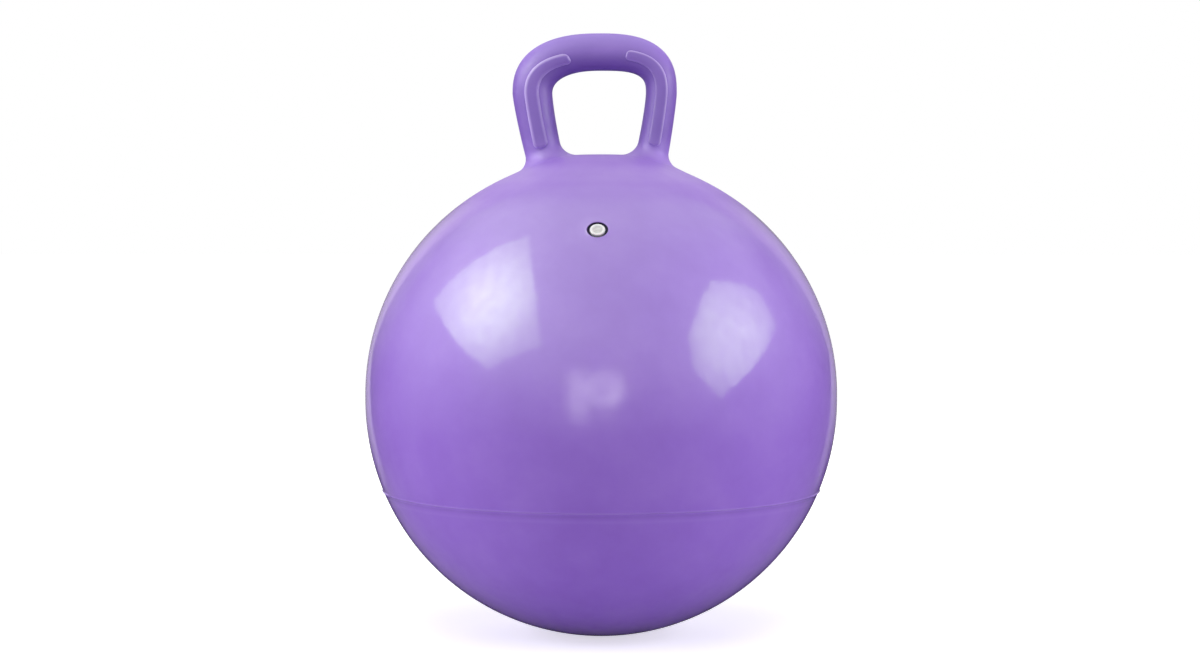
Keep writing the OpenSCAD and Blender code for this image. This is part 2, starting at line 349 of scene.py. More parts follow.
def vinyl(name, tones, specular, roughness, coat_roughness, wave):
    """Plasticised PVC from a rotating mould.

    The colour goes right through and clouds a little where the melt flowed. The body is satin, and a clear gloss
    lies over it, from the walls of the mould.
    """
    material, tree = start_material(name)
    place = add_node(tree, "ShaderNodeTexCoord").outputs["Object"]
    cloud = add_node(tree, "ShaderNodeTexNoise", inputs={
        "Vector": place, "Scale": 1 / CLOUD_SIZE, "Detail": 5, "Roughness": 0.55})
    colour = tone_ramp(tree, cloud.outputs["Fac"], tones)
    smear = add_node(tree, "ShaderNodeTexNoise", inputs={
        "Vector": place, "Scale": 1 / SMEAR_SIZE, "Detail": 4, "Roughness": 0.6})
    rough = add_node(tree, "ShaderNodeMapRange", inputs={
        "Value": smear.outputs["Fac"], "From Min": NOISE_SPAN[0], "From Max": NOISE_SPAN[1],
        "To Min": roughness[0], "To Max": roughness[1]})
    wave_size, wave_depth = wave
    ripple = add_node(tree, "ShaderNodeTexNoise", inputs={"Vector": place, "Scale": 1 / wave_size, "Detail": 3})
    bump = add_node(tree, "ShaderNodeBump", inputs={
        "Height": ripple.outputs["Fac"], "Strength": 1.0, "Distance": wave_depth})
    shader = add_node(tree, "ShaderNodeBsdfPrincipled", inputs={
        "Base Color": colour, "Roughness": rough.outputs["Result"], "IOR": 1.53, "Specular IOR Level": specular,
        "Coat Roughness": coat_roughness, "Coat IOR": 1.5,
        "Normal": bump.outputs["Normal"], "Coat Normal": bump.outputs["Normal"]})
    add_node(tree, "ShaderNodeOutputMaterial", inputs={"Surface": shader.outputs["BSDF"]})
    return material, tree, place, cloud.outputs["Fac"], colour, shader


BALL_TONES = ("#8C60CB", "#8F64CE", "#9369D0")
PAINTED_SHEEN_TONES = ("#9F7DD4", "#A382D7", "#A787D9")
ROOT_SHEEN_TONES = ("#9670D0", "#9974D3", "#9D79D5")
HANDLE_TONES = ("#714DAE", "#7752B4", "#7D58B8")
SEAT_SHADE_TONES = ("#1C1230", "#201636", "#261B3E")
PLUG_TONES = ("#B4B1B8", "#C7C4CB", "#D5D2D8")
PLUG_RIM_HIGHLIGHT = "#E7E4EA"
SEAM_HIGHLIGHT_TONE = "#B99CE2"
SEAM_SHADE_TONE = "#553A88"
HOLE_SHADE_TONE = "#2A1B45"
ball_middle = Vector((0, 0, HIGH_Z))


def off_valve_axis(tree, place):
    """The arm from the ball's middle to a place on a surface, and that place's distance from the valve's axis."""
    arm = add_node(tree, "ShaderNodeVectorMath", {"operation": "SUBTRACT"}, {
        0: place, 1: ball_middle}).outputs["Vector"]
    across = add_node(tree, "ShaderNodeVectorMath", {"operation": "CROSS_PRODUCT"}, {0: arm, 1: VALVE_AXIS})
    distance = add_node(tree, "ShaderNodeVectorMath", {"operation": "LENGTH"}, {0: across.outputs["Vector"]})
    return arm, distance.outputs["Value"]


# The ball is glossy: the softboxes show in it with clear edges. Near the handle the gloss fades to satin
ball_vinyl, tree, place, cloud, colour, shader = vinyl(
    "glossy_moulded_pvc", BALL_TONES, specular=0.3, roughness=(0.42, 0.52), coat_roughness=0.1,
    wave=(9 * MM, 0.09 * MM))
from_crown = add_node(tree, "ShaderNodeVectorMath", {"operation": "DISTANCE"}, {0: place, 1: (0, 0, CROWN_Z)})
polish = add_node(tree, "ShaderNodeMapRange", {"interpolation_type": "SMOOTHSTEP"}, {
    "Value": from_crown.outputs["Value"], "From Min": POLISH_NEAR, "From Max": POLISH_FAR, "To Min": POLISH_LEAST})
tree.links.new(polish.outputs["Result"], shader.inputs["Coat Weight"])
# Painted sheen: a paler tone in a ring round the handle
painted_sheen = add_node(tree, "ShaderNodeMapRange", inputs={
    "Value": from_crown.outputs["Value"], "From Max": PAINTED_SHEEN_RING[-1][0]})
painted_sheen = add_node(tree, "ShaderNodeValToRGB", inputs={"Fac": painted_sheen.outputs["Result"]})
set_ramp(painted_sheen, [(reach / PAINTED_SHEEN_RING[-1][0], (share, share, share, 1)) for reach, share in PAINTED_SHEEN_RING])
painted_sheen.color_ramp.interpolation = "EASE"
colour = add_node(tree, "ShaderNodeMix", {"data_type": "RGBA"}, {
    "Factor": painted_sheen.outputs["Color"], 6: colour, 7: tone_ramp(tree, cloud, PAINTED_SHEEN_TONES)}).outputs[2]
height = add_node(tree, "ShaderNodeSeparateXYZ", inputs={0: place}).outputs["Z"]
# Painted highlight along the top of the parting ridge, painted shade under it
for tone, stops in ((SEAM_HIGHLIGHT_TONE, SEAM_PAINTED_HIGHLIGHT), (SEAM_SHADE_TONE, SEAM_PAINTED_SHADE)):
    first, last = stops[0][0], stops[-1][0]
    line = add_node(tree, "ShaderNodeMapRange", inputs={
        "Value": height, "From Min": SEAM_Z + first * MM, "From Max": SEAM_Z + last * MM})
    line = add_node(tree, "ShaderNodeValToRGB", inputs={"Fac": line.outputs["Result"]})
    set_ramp(line, [((up - first) / (last - first), (share, share, share, 1)) for up, share in stops])
    colour = add_node(tree, "ShaderNodeMix", {"data_type": "RGBA"}, {
        "Factor": line.outputs["Color"], 6: colour, 7: linear(tone)}).outputs[2]
# The wall of the valve's hole is painted dark, as shade inside the hole
arm, off_axis = off_valve_axis(tree, place)
skin = add_node(tree, "ShaderNodeMapRange", inputs={
    "Value": off_axis, "From Min": HOLE_R + 0.03 * MM, "From Max": HOLE_R + 0.3 * MM})
front_side = add_node(tree, "ShaderNodeVectorMath", {"operation": "DOT_PRODUCT"}, {0: arm, 1: VALVE_AXIS})
front_side = add_node(tree, "ShaderNodeMath", {"operation": "LESS_THAN"}, {0: front_side.outputs["Value"], 1: 0})
skin = add_node(tree, "ShaderNodeMath", {"operation": "MAXIMUM"}, {
    0: skin.outputs["Result"], 1: front_side.outputs["Value"]})
colour = add_node(tree, "ShaderNodeMix", {"data_type": "RGBA"}, {
    "Factor": skin.outputs["Value"], 6: linear(HOLE_SHADE_TONE), 7: colour})
tree.links.new(colour.outputs[2], shader.inputs["Base Color"])

# The handle is satin all over, with a fine grain that breaks up the light,
# drawn twice as coarse as it is so that it shows
HANDLE_GRAIN = (2.2 * MM, 0.1 * MM)


def handle_finish(name):
    """The handle's satin vinyl. Its feet run into a paler tone that matches the ball's painted sheen round them."""
    material, tree, place, cloud, colour, shader = vinyl(
        name, HANDLE_TONES, specular=0.55, roughness=(0.42, 0.52), coat_roughness=0.2, wave=HANDLE_GRAIN)
    # The feet go over to the paler tone of the ball's painted sheen
    over_ball = add_node(tree, "ShaderNodeVectorMath", {"operation": "DISTANCE"}, {0: place, 1: ball_middle})
    root = add_node(tree, "ShaderNodeMapRange", {"interpolation_type": "SMOOTHSTEP"}, {
        "Value": over_ball.outputs["Value"], "From Min": BALL_R + ROOT_NEAR, "From Max": BALL_R + ROOT_FAR})
    colour = add_node(tree, "ShaderNodeMix", {"data_type": "RGBA"}, {
        "Factor": root.outputs["Result"], 6: tone_ramp(tree, cloud, ROOT_SHEEN_TONES), 7: colour})
    tree.links.new(colour.outputs[2], shader.inputs["Base Color"])
    return material, tree, cloud, colour.outputs[2], shader


# The top of the bar is painted lighter and its underside painted darker, as painted light and shade from above. The
# handle's own map says which way it faces, from 0 straight down to 1 straight up, and each tone begins and is whole at
# a facing
PAINTED_LIGHT_TONE = "#906AD3"
PAINTED_SHADE_TONE = "#6646A0"
PAINTED_LIGHT_BY_FACING = ((PAINTED_LIGHT_TONE, 0.6, 1), (PAINTED_SHADE_TONE, 0.56, 0.1))
handle_vinyl, tree, cloud, colour, shader = handle_finish("satin_moulded_pvc")
place = add_node(tree, "ShaderNodeTexCoord").outputs["Object"]
height = add_node(tree, "ShaderNodeSeparateXYZ", inputs={0: place}).outputs["Z"]
shoulder_z = CROWN_Z + SHOULDER_H
bar = add_node(tree, "ShaderNodeMapRange", {"interpolation_type": "SMOOTHSTEP"}, {
    "Value": height, "From Min": shoulder_z - BAR_T / 2, "From Max": shoulder_z + BAR_T / 2}).outputs["Result"]
facing = add_node(tree, "ShaderNodeUVMap", {"uv_map": "facing"}).outputs["UV"]
facing = add_node(tree, "ShaderNodeSeparateXYZ", inputs={0: facing}).outputs["X"]
# Painted light on the bar's top and painted shade under it, by the way each place faces
for tone, first, last in PAINTED_LIGHT_BY_FACING:
    share = add_node(tree, "ShaderNodeMapRange", inputs={"Value": facing, "From Min": first, "From Max": last})
    above = add_node(tree, "ShaderNodeMath", {"operation": "MULTIPLY"}, {0: share.outputs["Result"], 1: bar})
    colour = add_node(tree, "ShaderNodeMix", {"data_type": "RGBA"}, {
        "Factor": above.outputs["Value"], 6: colour, 7: linear(tone)}).outputs[2]
tree.links.new(colour, shader.inputs["Base Color"])

# The ribs are the same vinyl with painted shade over their body, and painted highlights along their edges, most on the
# outer one, and at their ends. Their own map runs across and along them: places on it, and how much highlight is
# painted there
RIB_HIGHLIGHT_TONE = "#BBA2E4"
RIB_SHADE_SHARE = 0.3
HIGHLIGHT_ACROSS = [
    (0, 0.2), (0.08, 0.5), (0.17, 0.6), (0.27, 0.35), (0.38, 0),
    (0.61, 0), (0.71, 0.55), (0.83, 1), (0.93, 0.9), (1, 0.3)]
HIGHLIGHT_ALONG = [(0, 0.3), (0.03, 0.85), (0.075, 0), (0.92, 0), (0.96, 1), (1, 0.3)]
rib_vinyl, tree, cloud, colour, shader = handle_finish("satin_moulded_pvc_painted_edge_highlights")
# Painted shade over the ribs' body
colour = add_node(tree, "ShaderNodeMix", {"data_type": "RGBA"}, {
    "Factor": RIB_SHADE_SHARE, 6: colour, 7: linear(PAINTED_SHADE_TONE)}).outputs[2]
rib_map = add_node(tree, "ShaderNodeTexCoord").outputs["UV"]
ways = add_node(tree, "ShaderNodeSeparateXYZ", inputs={0: rib_map})
across = add_node(tree, "ShaderNodeValToRGB", inputs={"Fac": ways.outputs["X"]})
set_ramp(across, [(place, (highlight_share, highlight_share, highlight_share, 1)) for place, highlight_share in HIGHLIGHT_ACROSS])
along = add_node(tree, "ShaderNodeValToRGB", inputs={"Fac": ways.outputs["Y"]})
set_ramp(along, [(place, (highlight_share, highlight_share, highlight_share, 1)) for place, highlight_share in HIGHLIGHT_ALONG])
# Painted highlights along the ribs' edges and at their ends, broken up by the clouds
painted_highlight = add_node(tree, "ShaderNodeMath", {"operation": "MAXIMUM"}, {
    0: across.outputs["Color"], 1: along.outputs["Color"]})
patchy = add_node(tree, "ShaderNodeMapRange", inputs={
    "Value": cloud, "From Min": NOISE_SPAN[0], "From Max": NOISE_SPAN[1], "To Min": 0.65, "To Max": 1})
painted_highlight = add_node(tree, "ShaderNodeMath", {"operation": "MULTIPLY"}, {
    0: painted_highlight.outputs["Value"], 1: patchy.outputs["Result"]})
colour = add_node(tree, "ShaderNodeMix", {"data_type": "RGBA"}, {
    "Factor": painted_highlight.outputs["Value"], 6: colour, 7: linear(RIB_HIGHLIGHT_TONE)})
tree.links.new(colour.outputs[2], shader.inputs["Base Color"])

# The seat is the same vinyl, left dull and painted dark as the shade inside the recess
seat_shade_vinyl = vinyl(
    "dull_inner_pvc_painted_shade", SEAT_SHADE_TONES, specular=0.2, roughness=(0.6, 0.7), coat_roughness=0.5, wave=(1.5 * MM, 0.05 * MM))[0]


def plug_white():
    """Low-density polyethylene, injection moulded: waxy white, greyer and mottled in the dish, with a painted highlight
    round the rim.
    """
    material, tree = start_material("waxy_white_polyethylene")
    place = add_node(tree, "ShaderNodeTexCoord").outputs["Object"]
    scuff = add_node(tree, "ShaderNodeTexNoise", inputs={
        "Vector": place, "Scale": 1 / (2.2 * MM), "Detail": 6, "Roughness": 0.65})
    dish_grey = tone_ramp(tree, scuff.outputs["Fac"], PLUG_TONES)
    off_axis = off_valve_axis(tree, place)[1]
    # Painted highlight round the rim
    rim_highlight = add_node(tree, "ShaderNodeMapRange", {"interpolation_type": "SMOOTHSTEP"}, {
        "Value": off_axis, "From Min": PLUG_R * 0.55, "From Max": PLUG_R * 0.8})
    colour = add_node(tree, "ShaderNodeMix", {"data_type": "RGBA"}, {
        "Factor": rim_highlight.outputs["Result"], 6: dish_grey, 7: linear(PLUG_RIM_HIGHLIGHT)})
    bump = add_node(tree, "ShaderNodeBump", inputs={
        "Height": scuff.outputs["Fac"], "Strength": 1.0, "Distance": 0.04 * MM})
    shader = add_node(tree, "ShaderNodeBsdfPrincipled", inputs={
        "Base Color": colour.outputs[2], "Roughness": 0.42, "IOR": 1.51, "Normal": bump.outputs["Normal"],
        "Subsurface Weight": 0.1, "Subsurface Scale": 1 * MM})
    add_node(tree, "ShaderNodeOutputMaterial", inputs={"Surface": shader.outputs["BSDF"]})
    return material


plug_plastic = plug_white()


# The ball's skin: two turned skins that meet on the parting ridge

def crown_rise(radius):
    swell = CROWN_RISE * math.cos(min(radius / CROWN_REACH, 1) * math.pi / 2) ** 2
    share = min(max((FLAT_FAR - radius) / (FLAT_FAR - FLAT_NEAR), 0), 1)
    return swell + share ** 2 * (3 - 2 * share) * (FLAT_LIFT + FLAT_SHARE * radius ** 2 / (2 * BALL_R))


def skin_z(x, y):
    """Height of the upper skin over a place near the crown."""
    radius = math.hypot(x, y)
    return HIGH_Z + math.sqrt(BALL_R ** 2 - radius ** 2) + crown_rise(radius)


def seam_lift(along):
    """How far the ridge and its ripples stand off the skin at a distance from the parting line."""
    fade = max(0, 1 - (along / RIPPLE_REACH) ** 2)
    ripple = RIPPLE_H * fade * math.cos(2 * math.pi * along / RIPPLE_PITCH)
    return RIDGE_H * math.exp(-(along / RIDGE_W) ** 2 * 2) + ripple


def seam_profile(way):
    """Points of the lower dome from the parting line to the end of the ripples, up (1) or down (-1)."""
    points = []
    for number in range(SEAM_STEPS + 1):
        along = SEAM_REACH * (number / SEAM_STEPS) ** 1.5
        turn = SEAM_TURN - way * along / BALL_R
        out = BALL_R + seam_lift(along)
        points.append((out * math.cos(turn), LOW_Z - out * math.sin(turn)))
    points[0] = (points[0][0], SEAM_Z)
    return points


def arc(middle_z, first, last, steps):
    """Points of the ball's circle between two heights in degrees over its middle."""
    turns = [math.radians(first + (last - first) * i / steps) for i in range(steps + 1)]
    return [(BALL_R * math.cos(t), middle_z + BALL_R * math.sin(t)) for t in turns]


near = math.degrees(SEAM_REACH / BALL_R)
seam_degrees = -math.degrees(SEAM_TURN)
upper = seam_profile(1)
upper += arc(LOW_Z, seam_degrees + near, 0, steps=10)[1:]
upper += arc(HIGH_Z, 0, 90, steps=64)
upper = [(radius, height + (crown_rise(radius) if height > HIGH_Z else 0)) for radius, height in upper]
upper[-1] = (0, upper[-1][1])
upper_skin = draw_profile("ball_upper_skin", upper)
spin_round(SKIN_STEPS)


# The valve's hole: the faces round it are cleared, a ring is set in and the space between them is filled

def from_valve_axis(place):
    """Distance of a place from the valve's axis, on the valve's side of the ball."""
    arm = place - ball_middle
    if arm.dot(VALVE_AXIS) < 0:
        return BALL_R
    return (arm - VALVE_AXIS * arm.dot(VALVE_AXIS)).length


def valve_place(height):
    """A place on the valve's axis, at a height over the skin."""
    return ball_middle + VALVE_AXIS * (BALL_R + height)


valve_turn = Vector((0, 0, 1)).rotation_difference(VALVE_AXIS)
bpy.ops.mesh.select_mode(type="FACE")
bpy.ops.mesh.select_all(action="DESELECT")
shape = bmesh.from_edit_mesh(upper_skin.data)
for face in shape.faces:
    if from_valve_axis(face.calc_center_median()) < PATCH_R:
        face.select = True
bmesh.update_edit_mesh(upper_skin.data)
bpy.ops.mesh.delete(type="FACE")
bpy.ops.mesh.select_mode(type="EDGE")
bpy.ops.mesh.select_all(action="DESELECT")
ring_r = HOLE_R + LIP_W
ring_h = math.sqrt(BALL_R ** 2 - ring_r ** 2) - BALL_R
bpy.ops.mesh.primitive_circle_add(
    vertices=HOLE_POINTS, radius=ring_r, location=valve_place(ring_h), rotation=valve_turn.to_euler())
shape = bmesh.from_edit_mesh(upper_skin.data)
for edge in shape.edges:
    middle = (edge.verts[0].co + edge.verts[1].co) / 2
    edge.select = len(edge.link_faces) < 2 and from_valve_axis(middle) < PATCH_R * 1.5
bmesh.update_edit_mesh(upper_skin.data)
bpy.ops.mesh.fill(use_beauty=True)
# The ring is drawn in and down in steps: a low rounded lip, then the wall of the hole
bpy.ops.mesh.select_mode(type="VERT")
select_points(upper_skin, lambda point: abs(from_valve_axis(point.co) - ring_r) < 0.05 * MM)
bpy.ops.mesh.select_mode(type="EDGE")
here_r, here_h = ring_r, ring_h
for out_share, lift_share in LIP_STEPS:
    next_r = HOLE_R + LIP_W * out_share
    next_h = math.sqrt(BALL_R ** 2 - next_r ** 2) - BALL_R + LIP_H * lift_share
    bpy.ops.mesh.extrude_region_move(TRANSFORM_OT_translate={"value": VALVE_AXIS * (next_h - here_h)})
    bpy.ops.transform.resize(value=(next_r / here_r,) * 3, center_override=valve_place(next_h))
    here_r, here_h = next_r, next_h
bpy.ops.mesh.select_mode(type="VERT")
close_up()
bpy.ops.object.mode_set(mode="OBJECT")
apply_modifier(upper_skin, "SOLIDIFY", thickness=SKIN_T, offset=-1)
finish_piece(upper_skin, ball_vinyl, "ball", 40, ["upper_shell"])

lower = seam_profile(-1)
floor_degrees = -math.degrees(math.acos(FLOOR_R / BALL_R))
lower += arc(LOW_Z, seam_degrees - near, floor_degrees, steps=44)[1:]
lower += [(FLOOR_R * share, 0) for share in (0.8, 0.4, 0)]
lower_skin = draw_profile("ball_lower_skin", lower)
spin_round(SKIN_STEPS)
bpy.ops.object.mode_set(mode="OBJECT")
apply_modifier(lower_skin, "SOLIDIFY", thickness=SKIN_T, offset=-1)
finish_piece(lower_skin, ball_vinyl, "ball", 40, ["lower_shell"])


# The handle: a straight tube of rings, bent into the loop

def loop_edge(side, climb, turn, foot_x, wide_x, top_h, squareness):
    """A place on the loop's outline in the XZ plane: up a leg by climb, or round a corner by turn."""
    leg_x = foot_x + (wide_x - foot_x) * (1 - (1 - climb) ** LEG_EASE)
    across = max(math.cos(turn), 0) ** (2 / squareness)
    rise = max(math.sin(turn), 0) ** (2 / squareness)
    return Vector((HANDLE_X + side * leg_x * across, 0, SHOULDER_H * climb + (top_h - SHOULDER_H) * rise))


def loop_edges(side, climb, turn):
    """The outer and the inner edge of the loop at one place."""
    foot_x, wide_x = FOOT_GAP_W / 2, OPENING_W / 2
    outer = loop_edge(
        side, climb, turn, foot_x + FOOT_T[side], wide_x + LEG_T[side], HANDLE_H, OUTER_SQUARENESS[side])
    inner = loop_edge(side, climb, turn, foot_x, wide_x, HANDLE_H - BAR_T, INNER_SQUARENESS[side])
    return outer, inner


def loop_point(side, climb, turn, angle, flare):
    """A point of the handle's skin; angle 0 is the outer edge and 90 degrees the back."""
    outer, inner = loop_edges(side, climb, turn)
    middle, half = (outer + inner) / 2, (outer - inner) / 2
    x = middle.x + math.cos(angle) * (half.x + side * flare)
    y = math.sin(angle) * (HANDLE_DEPTH / 2 + flare)
    settle = (1 - climb) ** 2 * (skin_z(x, y) - CROWN_Z)
    return Vector((x, y, CROWN_Z + middle.z + math.cos(angle) * half.z + settle))


def fillet_radius(angle):
    return (OUTER_FILLET_R + INNER_FILLET_R + (OUTER_FILLET_R - INNER_FILLET_R) * math.cos(angle)) / 2


def foot_point(side, swing, angle):
    """A point of the flared foot; swing runs from 0 on the ball's skin to 90 degrees on the leg."""
    radius = fillet_radius(angle)
    height = radius * (1 - math.cos(swing))
    return loop_point(side, height / SHOULDER_H, 0, angle, radius * (1 - math.sin(swing)))


def leg_point(side, share, angle):
    """A point of the leg between the flare and the shoulder."""
    radius = fillet_radius(angle)
    return loop_point(side, (radius + (SHOULDER_H - radius) * share) / SHOULDER_H, 0, angle, 0)


def sunk_point(side, angle):
    """The foot's edge, just under the ball's skin."""
    return foot_point(side, 0, angle) - Vector((0, 0, FOOT_SINK))


def half_loop(side):
    """The rings of one half, from the foot to the middle of the bar, as functions of the angle."""
    rings = [lambda angle: sunk_point(side, angle)]
    for i in range(FILLET_STEPS):
        swing = math.radians(90 * i / FILLET_STEPS)
        rings.append(lambda angle, swing=swing: foot_point(side, swing, angle))
    for i in range(LEG_STEPS):
        rings.append(lambda angle, share=i / LEG_STEPS: leg_point(side, share, angle))
    for i in range(CORNER_STEPS):
        turn = math.radians(90 * i / CORNER_STEPS)
        rings.append(lambda angle, turn=turn: loop_point(side, 1, turn, angle, 0))
    return rings


top_ring = [lambda angle: loop_point(1, 1, math.pi / 2, angle, 0)]
loop_rings = half_loop(-1) + top_ring + half_loop(1)[::-1]
bpy.ops.object.select_all(action="DESELECT")
bpy.ops.mesh.primitive_circle_add(vertices=RING_POINTS, radius=1, location=(0, 0, 0))
handle = bpy.context.object
handle.name = "handle_loop"
handle.data.name = "handle_loop"
bpy.ops.object.mode_set(mode="EDIT")
bpy.ops.mesh.select_all(action="SELECT")
for ring in loop_rings[1:]:
    bpy.ops.mesh.extrude_region_move(TRANSFORM_OT_translate={"value": (0, 0, 1)})
move_points(handle, lambda co: loop_rings[round(co.z)](math.atan2(co.y, co.x)))
close_up()
bpy.ops.object.mode_set(mode="OBJECT")
apply_modifier(handle, "SOLIDIFY", thickness=HANDLE_WALL_T, offset=-1)
# Which way each place faces, for the painted light and shade on the bar
facing_map = handle.data.uv_layers.new(name="facing")
for corner, place in zip(handle.data.loops, facing_map.data):
    place.uv = ((handle.data.vertices[corner.vertex_index].normal.z + 1) / 2, 0.5)
finish_piece(handle, handle_vinyl, "ball", 50, ["handle"])


# The grip ribs: a flat grid laid along the loop, with rounded edges and ends

def rib_line(side):
    """Places along a rib, from its foot to its end on the bar, with the length run so far."""
    mean = (OUTER_SQUARENESS[side] + INNER_SQUARENESS[side]) / 2
    last = math.acos(((RIB_END_X[side] - side * HANDLE_X) / ((OPENING_W + LEG_T[side]) / 2)) ** (mean / 2))
    first = RIB_FOOT_H / SHOULDER_H
    places = [(first + (1 - first) * i / RIB_LEG_STEPS, 0) for i in range(RIB_LEG_STEPS)]
    places += [(1, last * i / RIB_CORNER_STEPS) for i in range(RIB_CORNER_STEPS + 1)]
    run, lengths, before = 0, [], None
    for climb, turn in places:
        outer, inner = loop_edges(side, climb, turn)
        middle = (outer + inner) / 2
        run += (middle - before).length if before else 0
        before = middle
        lengths.append(run)
    return places, lengths


def rib_place(places, lengths, length):
    """The climb and turn at a length along a rib."""
    for number in range(1, len(lengths)):
        if length <= lengths[number] or number == len(lengths) - 1:
            share = (length - lengths[number - 1]) / (lengths[number] - lengths[number - 1])
            a, b = places[number - 1], places[number]
            return a[0] + (b[0] - a[0]) * share, a[1] + (b[1] - a[1]) * share


def make_rib(name, side, face, node):
    """A rib on the left (-1) or right (1) leg, and on the front (-1) or back (1) of the handle."""
    places, lengths = rib_line(side)
    whole = lengths[-1]
    rows = [RIB_END_L * share for share in RIB_ROWS]
    rows += [RIB_END_L + (whole - 2 * RIB_END_L) * i / RIB_BODY_ROWS for i in range(1, RIB_BODY_ROWS)]
    rows += [whole - RIB_END_L * share for share in RIB_ROWS[::-1]]

    def rib_point(co):
        length = rows[round(co.y)]
        cross = RIB_COLUMNS[round(co.x)]
        climb, turn = rib_place(places, lengths, min(max(length, 1e-6), whole - 1e-6))
        outer, inner = loop_edges(side, climb, turn)
        half_t = (outer - inner).length / 2
        end = max(0, 1 - min(length, whole - length) / RIB_END_L)
        square = RIB_END_SQUARENESS
        narrow = max(0, 1 - end ** square) ** (1 / square)
        edge = (end ** square + (abs(cross) * narrow) ** square) ** (1 / square) if end > 0 else abs(cross)
        wide = RIB_W + (RIB_BAR_W[side] - RIB_W) * math.sin(turn) ** 2
        away = min((1 - edge) * wide / 2 / RIB_EDGE, 1)
        height = RIB_H * math.sqrt(max(0, 1 - (1 - away) ** 2)) - RIB_SINK
        offset = cross * narrow * wide / 2 + (RIB_W - wide) / 2 - RIB_DROP[side] * math.sin(turn) ** 2
        angle = math.acos(max(-1, min(1, offset / half_t)))
        point = loop_point(side, climb, turn, face * angle, 0)
        out = (outer - inner).normalized() * (math.cos(angle) / half_t)
        out += Vector((0, face * math.sin(angle) / (HANDLE_DEPTH / 2), 0))
        return point + out.normalized() * height

    bpy.ops.object.select_all(action="DESELECT")
    bpy.ops.mesh.primitive_grid_add(x_subdivisions=len(RIB_COLUMNS) - 1, y_subdivisions=len(rows) - 1, size=1)
    rib = bpy.context.object
    rib.name = name
    rib.data.name = name
    bpy.ops.object.mode_set(mode="EDIT")
    bpy.ops.mesh.select_all(action="SELECT")
    move_points(rib, lambda co: Vector(((co.x + 0.5) * (len(RIB_COLUMNS) - 1), (co.y + 0.5) * (len(rows) - 1), 0)))
    move_points(rib, rib_point)
    close_up()
    shape = bmesh.from_edit_mesh(rib.data)
    shape.faces.ensure_lookup_table()
    middle_face = min(shape.faces, key=lambda f: abs(f.calc_center_median().z - CROWN_Z - SHOULDER_H))
    if middle_face.normal.y * face < 0:
        bpy.ops.mesh.flip_normals()
    bpy.ops.object.mode_set(mode="OBJECT")
    apply_modifier(rib, "SOLIDIFY", thickness=RIB_WALL_T, offset=-1)
    finish_piece(rib, rib_vinyl, "ball", 60, [node])


make_rib("grip_rib_front_left", -1, -1, "rib_front_left")
make_rib("grip_rib_front_right", 1, -1, "rib_front_right")
make_rib("grip_rib_back_left", -1, 1, "rib_back_left")
make_rib("grip_rib_back_right", 1, 1, "rib_back_right")


# The valve: a seat painted dark as shade under the hole and a white plug in it, turned on the Z axis and set on the
# valve's axis

def set_on_valve(piece):
    """Turns a piece made on the Z axis to the valve's axis, with its zero height on the skin."""
    bpy.ops.object.mode_set(mode="OBJECT")
    piece.matrix_world = Matrix.Translation(valve_place(0)) @ valve_turn.to_matrix().to_4x4()
    bpy.ops.object.transform_apply(location=True, rotation=True, scale=True)


seat = draw_profile("valve_seat_ring", [
    (SEAT_BORE_R, RECESS_H - 0.6 * MM), (SEAT_BORE_R + 0.6 * MM, RECESS_H), (SEAT_FLANGE_R - 1 * MM, RECESS_H),
    (SEAT_FLANGE_R, RECESS_H - 1 * MM), (SEAT_FLANGE_R, RECESS_H - 3 * MM), (SEAT_BOSS_R + 1 * MM, RECESS_H - 3 * MM),
    (SEAT_BOSS_R, RECESS_H - 4 * MM), (SEAT_BOSS_R, RECESS_H - SEAT_L), (SEAT_BORE_R, RECESS_H - SEAT_L),
    (SEAT_BORE_R, RECESS_H - 0.6 * MM)])
spin_round(VALVE_STEPS)
set_on_valve(seat)
finish_piece(seat, seat_shade_vinyl, "ball", 40, ["valve_seat"])

plug_base = RECESS_H + 0.05 * MM
plug_top = RECESS_H + PLUG_PROUD
plug = draw_profile("air_plug", [
    (0, plug_top - PLUG_DISH), (PLUG_R * 0.3, plug_top - PLUG_DISH * 0.95), (PLUG_R * 0.55, plug_top - PLUG_DISH * 0.7),
    (PLUG_R * 0.72, plug_top - PLUG_DISH * 0.25), (PLUG_R * 0.82, plug_top), (PLUG_R * 0.9, plug_top - 0.03 * MM),
    (PLUG_R * 0.96, plug_top - 0.25 * MM), (PLUG_R * 0.99, plug_top - 0.6 * MM), (PLUG_R, plug_top - 1 * MM),
    (PLUG_R, plug_base), (STEM_R + 0.4 * MM, plug_base), (STEM_R, plug_base - 0.4 * MM),
    (STEM_R, plug_base - STEM_L + STEM_TIP_L), (STEM_TIP_R, plug_base - STEM_L), (0, plug_base - STEM_L)])
spin_round(VALVE_STEPS)
set_on_valve(plug)
finish_piece(plug, plug_plastic, "plug", 40, ["valve_plug"])


# The stage: a pale floor, a white surround, the lamps, and the studio that shows in the gloss

def aim(place, target):
    return (target - place).to_track_quat("-Z", "Y")


def direction(azimuth, elevation):
    """A direction from the ball: azimuth in degrees from the front towards the right, elevation from level."""
    turn, lift = math.radians(azimuth), math.radians(elevation)
    return Vector((math.sin(turn) * math.cos(lift), -math.cos(turn) * math.cos(lift), math.sin(lift)))


def stage_piece(obj, name, material):
    obj.name = name
    obj.data.name = name
    obj.data.materials.append(material)
    return obj


def gloss_only(obj):
    """Leaves a stage piece to be seen in reflections alone, so that it lights nothing and hides nothing."""
    obj.visible_camera = False
    obj.visible_diffuse = False
    obj.visible_shadow = False
    obj.visible_transmission = False
    obj.visible_volume_scatter = False


